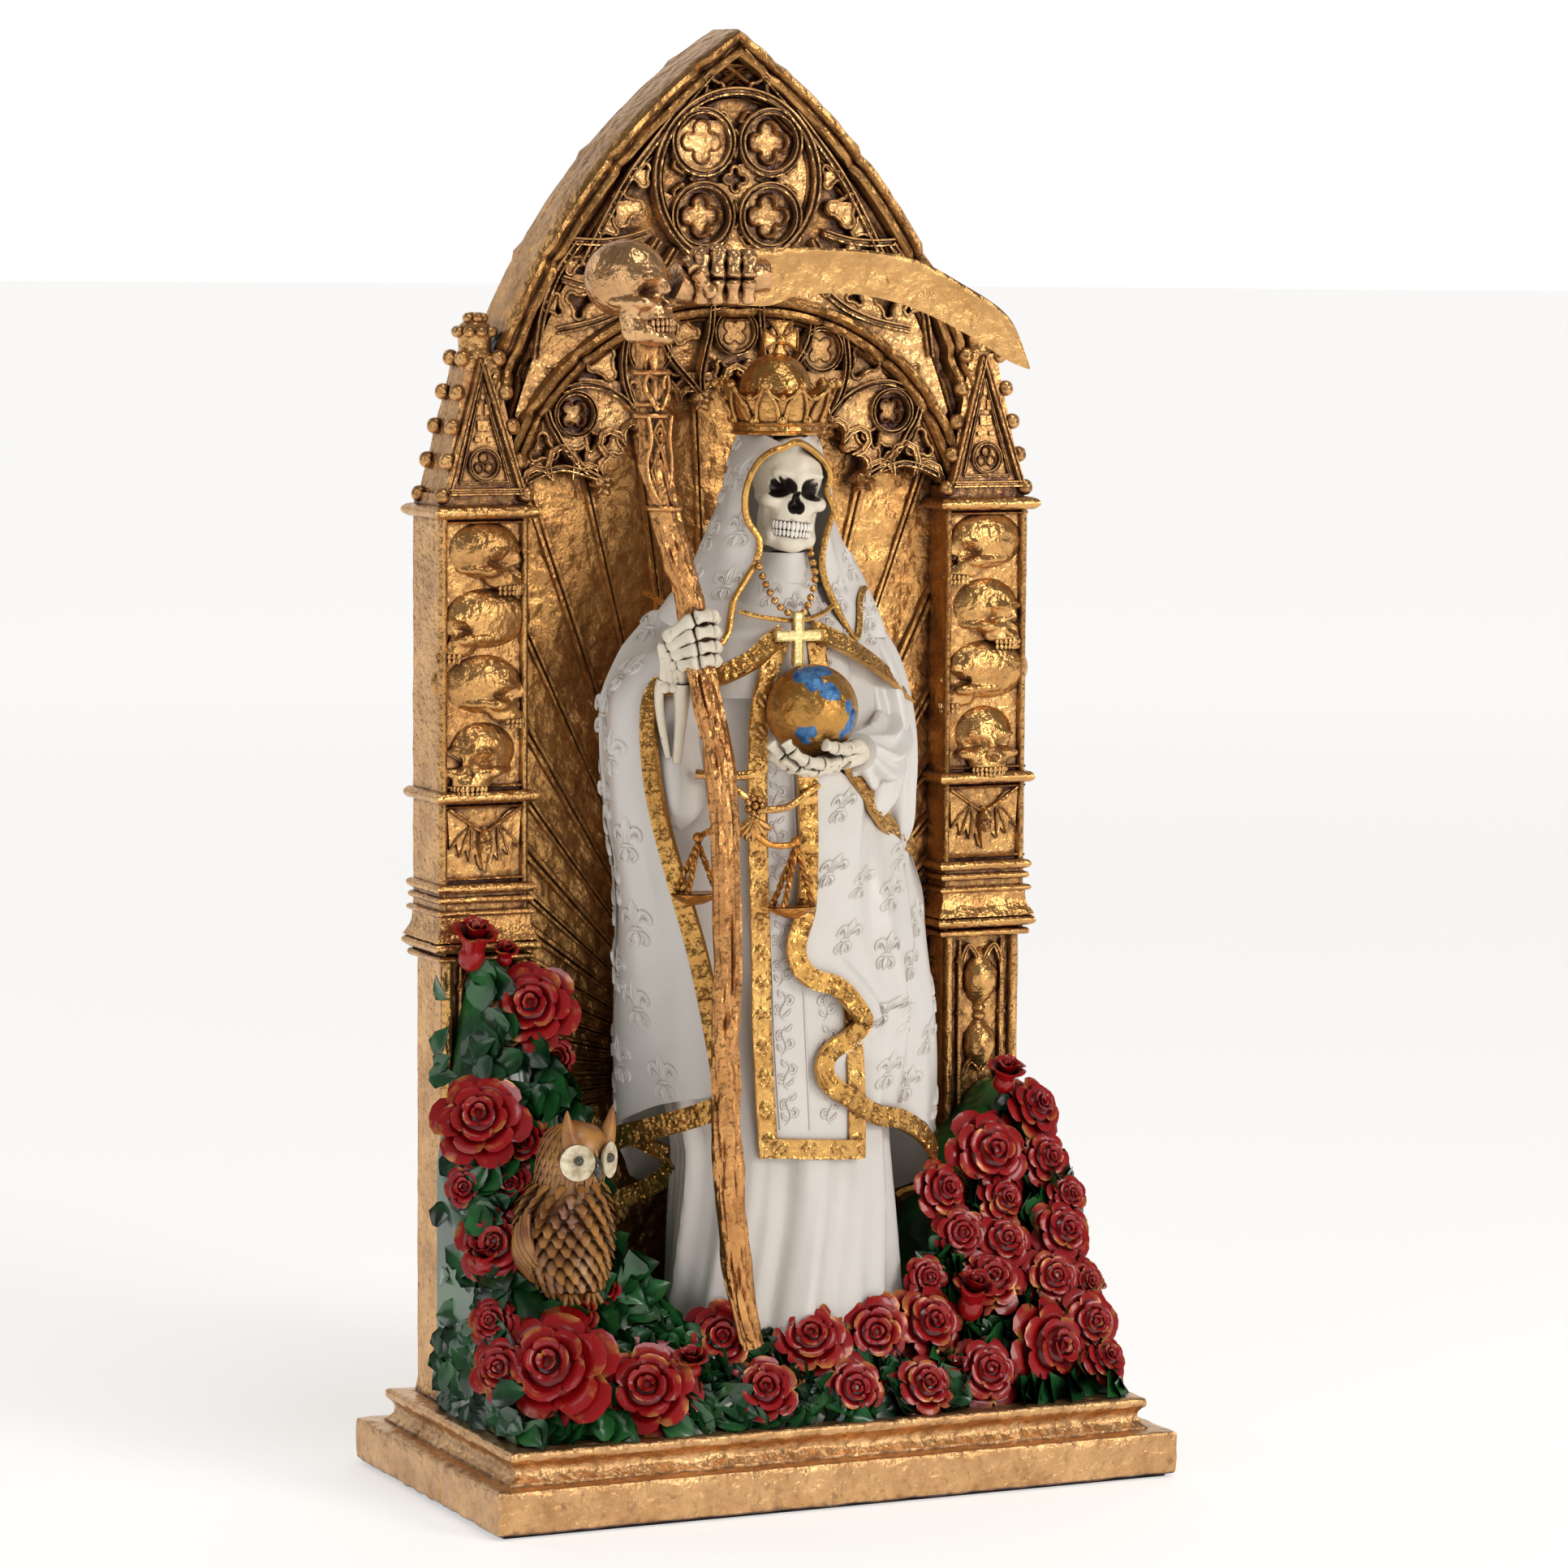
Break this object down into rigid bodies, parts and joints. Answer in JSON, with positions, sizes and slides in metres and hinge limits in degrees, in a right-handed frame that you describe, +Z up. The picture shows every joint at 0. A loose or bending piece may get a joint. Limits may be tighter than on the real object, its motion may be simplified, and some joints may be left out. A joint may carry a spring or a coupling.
{
  "type": "shrine figurine",
  "caption": "Robed skeleton figurine with scythe, globe, scales and owl, standing among roses in a gilt pointed-arch shrine on a stepped base.",
  "frame": {"origin": "on the ground under the middle of the base", "axes": "+X to the viewer's right, +Y to the back of the shrine, +Z up"},
  "size_m": [0.2638, 0.1394, 0.52],
  "materials": {
    "felt_pad": "black felt",
    "plinth": "cast resin in hammered gold paint",
    "shrine": "cast resin in gold paint with a red-brown wash in its hollows",
    "figure": "cast resin in pearl white paint with gold trims and ivory bones",
    "scythe": "cast resin in antique gold paint",
    "owl": "cast resin painted in ochre and brown",
    "rose_bank": "cast resin in red and dark green paint rubbed with gold"
  },
  "bodies": {
    "root": {"felt_pad": "felt_pad", "plinth": "plinth", "shrine": "shrine", "figure": "figure", "scythe": "scythe", "owl": "owl", "rose_bank": "rose_bank"}
  },
  "joints": []
}
